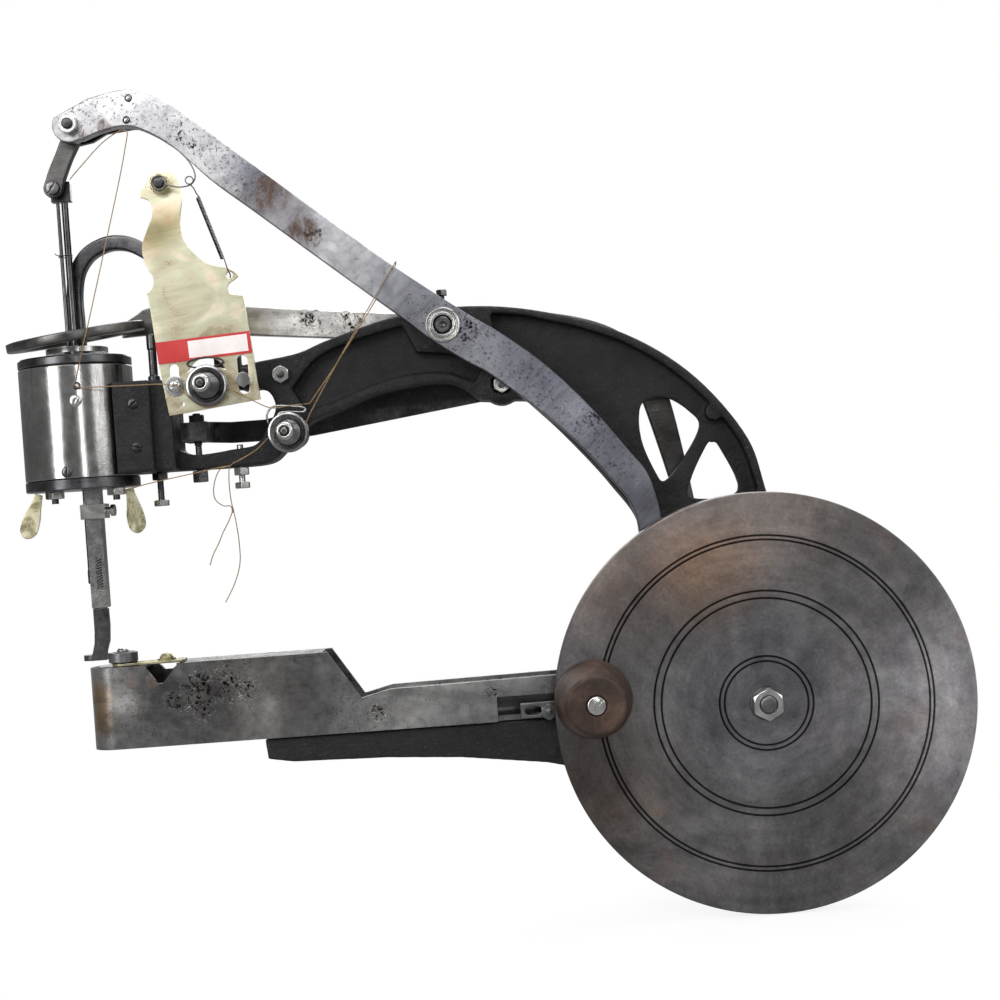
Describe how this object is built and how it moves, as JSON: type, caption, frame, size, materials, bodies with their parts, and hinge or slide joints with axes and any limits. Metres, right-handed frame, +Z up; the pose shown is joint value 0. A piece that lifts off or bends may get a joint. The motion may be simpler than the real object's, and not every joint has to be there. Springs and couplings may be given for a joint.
{
  "type": "leather sewing machine",
  "caption": "Hand-cranked shoe patcher: grooved hand wheel, long needle lever, turning needle head, slim lower arm, tension plate and thread.",
  "frame": {"origin": "middle of the flat pad under the iron frame, behind the hand wheel, where the machine is bolted to its legs or bench", "axes": "+Z up along the needle bar, +X from the needle head to the wheel, hand wheel on the -Y side"},
  "size_m": [0.5318, 0.1336, 0.487],
  "materials": {
    "black_casting": "rough black paint on cast iron",
    "brown_casting": "dark brown cast iron",
    "wheel_iron": "turned and patinated",
    "rusty_iron": "thin brown rust",
    "steel": "worn grey steel with pits and brown stains",
    "dark_steel": "dark oiled steel",
    "zinc": "bright zinc plate",
    "yellow_zinc": "yellow passivated zinc",
    "spring_steel": "black spring steel",
    "label": "printed paper label with a blank white field",
    "thread": "waxed sewing thread"
  },
  "bodies": {
    "frame": {"frame_casting": "black_casting", "fulcrum_stud": "steel", "fulcrum_washer": "zinc", "oil_screw": "dark_steel", "lug_bolt": "zinc", "saddle_post": "dark_steel", "adjust_bolt_1": "zinc", "adjust_bolt_2": "dark_steel", "adjust_bolt_3": "zinc", "shaft_bush": "dark_steel", "lower_arm": "steel", "throat_plate": "steel", "edge_guide_plate": "yellow_zinc", "roller_screw": "zinc", "head_cylinder": "steel", "head_top_cap": "dark_steel", "bow_bolt": "dark_steel", "lift_pivot_bolt": "zinc", "tension_plate": "yellow_zinc", "plate_label": "label", "plate_screw": "zinc", "plate_bolt": "zinc", "plate_stud": "dark_steel", "upper_tension_discs": "dark_steel", "lower_tension_discs": "dark_steel", "extension_spring": "spring_steel", "thread_run": "thread", "thread_tail": "thread"},
    "guide_roller": {"guide_roller": "steel"},
    "shuttle": {"shuttle": "steel", "bobbin": "zinc"},
    "rack": {"rack_bar": "dark_steel", "slider_link": "steel"},
    "wheel": {"hand_wheel": "wheel_iron", "main_shaft": "steel", "wheel_nut": "zinc", "feed_cam": "brown_casting", "knob_screw": "zinc"},
    "knob": {"crank_knob": "rusty_iron"},
    "needle_lever": {"needle_lever": "steel", "fork_plate": "dark_steel", "link_pin": "zinc"},
    "cam_roller": {"cam_roller": "steel"},
    "drop_link": {"drop_link": "dark_steel"},
    "needle_block": {"needle_block": "dark_steel"},
    "head": {"head_swivel": "dark_steel", "wing_left": "yellow_zinc", "wing_right": "yellow_zinc"},
    "needle_bar": {"needle_bar": "dark_steel", "guide_rod": "dark_steel", "needle": "zinc"},
    "presser": {"presser_bar": "steel", "foot_clamp": "dark_steel", "presser_foot": "dark_steel"},
    "bow": {"pressure_bow": "dark_steel"},
    "ring_lever": {"ring_lever": "steel"},
    "lift_lever": {"lift_lever": "black_casting"},
    "upper_nut": {"upper_tension_nut": "zinc"},
    "lower_nut": {"lower_tension_nut": "zinc"},
    "take_up": {"take_up_wire": "spring_steel"}
  },
  "joints": [
    {"name": "wheel_spin", "type": "hinge", "parent": "frame", "child": "wheel", "pos_m": [0.025, -0.043, 0.036], "axis": [0, 1, 0], "continuous": true},
    {"name": "knob_spin", "type": "hinge", "parent": "wheel", "child": "knob", "pos_m": [-0.0705, -0.067, 0.0455], "axis": [0, 1, 0], "continuous": true},
    {"name": "needle_lever_swing", "type": "hinge", "parent": "frame", "child": "needle_lever", "pos_m": [-0.139, -0.024, 0.26], "axis": [0, 1, 0], "range_deg": [-9.5, 0], "deforming": ["thread_run"]},
    {"name": "cam_roller_spin", "type": "hinge", "parent": "needle_lever", "child": "cam_roller", "pos_m": [-0.042, -0.039, 0.036], "axis": [0, 1, 0], "continuous": true},
    {"name": "link_swing", "type": "hinge", "parent": "needle_lever", "child": "drop_link", "pos_m": [-0.3416, -0.017, 0.3883], "axis": [0, 1, 0], "range_deg": [-20.5, 0]},
    {"name": "needle_block_slide", "type": "slide", "parent": "frame", "child": "needle_block", "axis": [0, 0, 1], "range_m": [-0.0382, 0]},
    {"name": "head_turn", "type": "hinge", "parent": "frame", "child": "head", "pos_m": [-0.352, -0.012, 0.22], "axis": [0, 0, 1], "continuous": true},
    {"name": "needle_bar_slide", "type": "slide", "parent": "head", "child": "needle_bar", "axis": [0, 0, 1], "range_m": [-0.0382, 0]},
    {"name": "presser_lift", "type": "slide", "parent": "head", "child": "presser", "axis": [0, 0, 1], "range_m": [0, 0.007]},
    {"name": "bow_swing", "type": "hinge", "parent": "frame", "child": "bow", "pos_m": [-0.264, -0.0034, 0.259], "axis": [0, 1, 0], "range_deg": [0, 4.7]},
    {"name": "ring_lever_swing", "type": "hinge", "parent": "frame", "child": "ring_lever", "pos_m": [-0.139, 0.011, 0.26], "axis": [0, 1, 0], "range_deg": [-0.8, 3]},
    {"name": "lift_lever_swing", "type": "hinge", "parent": "frame", "child": "lift_lever", "pos_m": [-0.108, 0.01, 0.225], "axis": [0, 1, 0], "range_deg": [0, 3]},
    {"name": "rack_slide", "type": "slide", "parent": "frame", "child": "rack", "axis": [1, 0, 0], "range_m": [-0.0025, 0.0045]},
    {"name": "shuttle_turn", "type": "hinge", "parent": "frame", "child": "shuttle", "pos_m": [-0.34, -0.012, 0.05], "axis": [0, 0, 1], "range_deg": [-32, 57.5]},
    {"name": "guide_roller_spin", "type": "hinge", "parent": "frame", "child": "guide_roller", "pos_m": [-0.3352, -0.018, 0.085], "axis": [0, 0, 1], "continuous": true},
    {"name": "upper_nut_turn", "type": "hinge", "parent": "frame", "child": "upper_nut", "pos_m": [-0.2733, -0.056, 0.235], "axis": [0, 1, 0], "range_deg": [-180, 180]},
    {"name": "lower_nut_turn", "type": "hinge", "parent": "frame", "child": "lower_nut", "pos_m": [-0.231, -0.041, 0.206], "axis": [0, 1, 0], "range_deg": [-180, 180]},
    {"name": "take_up_swing", "type": "hinge", "parent": "frame", "child": "take_up", "pos_m": [-0.2916, -0.0386, 0.35], "axis": [0, 1, 0], "range_deg": [-15, 0], "stiffness_Nm_per_rad": 0.02, "springref_deg": 17.19, "deforming": ["extension_spring"]}
  ],
  "couplings": [
    {"joint": "link_swing", "follows": "needle_lever_swing", "ratio": 2.1},
    {"joint": "needle_block_slide", "follows": "needle_lever_swing", "m_per_rad": 0.2275},
    {"joint": "needle_bar_slide", "follows": "needle_lever_swing", "m_per_rad": 0.2275},
    {"joint": "bow_swing", "follows": "presser_lift", "rad_per_m": 11.49},
    {"joint": "shuttle_turn", "follows": "rack_slide", "rad_per_m": 222.2}
  ]
}
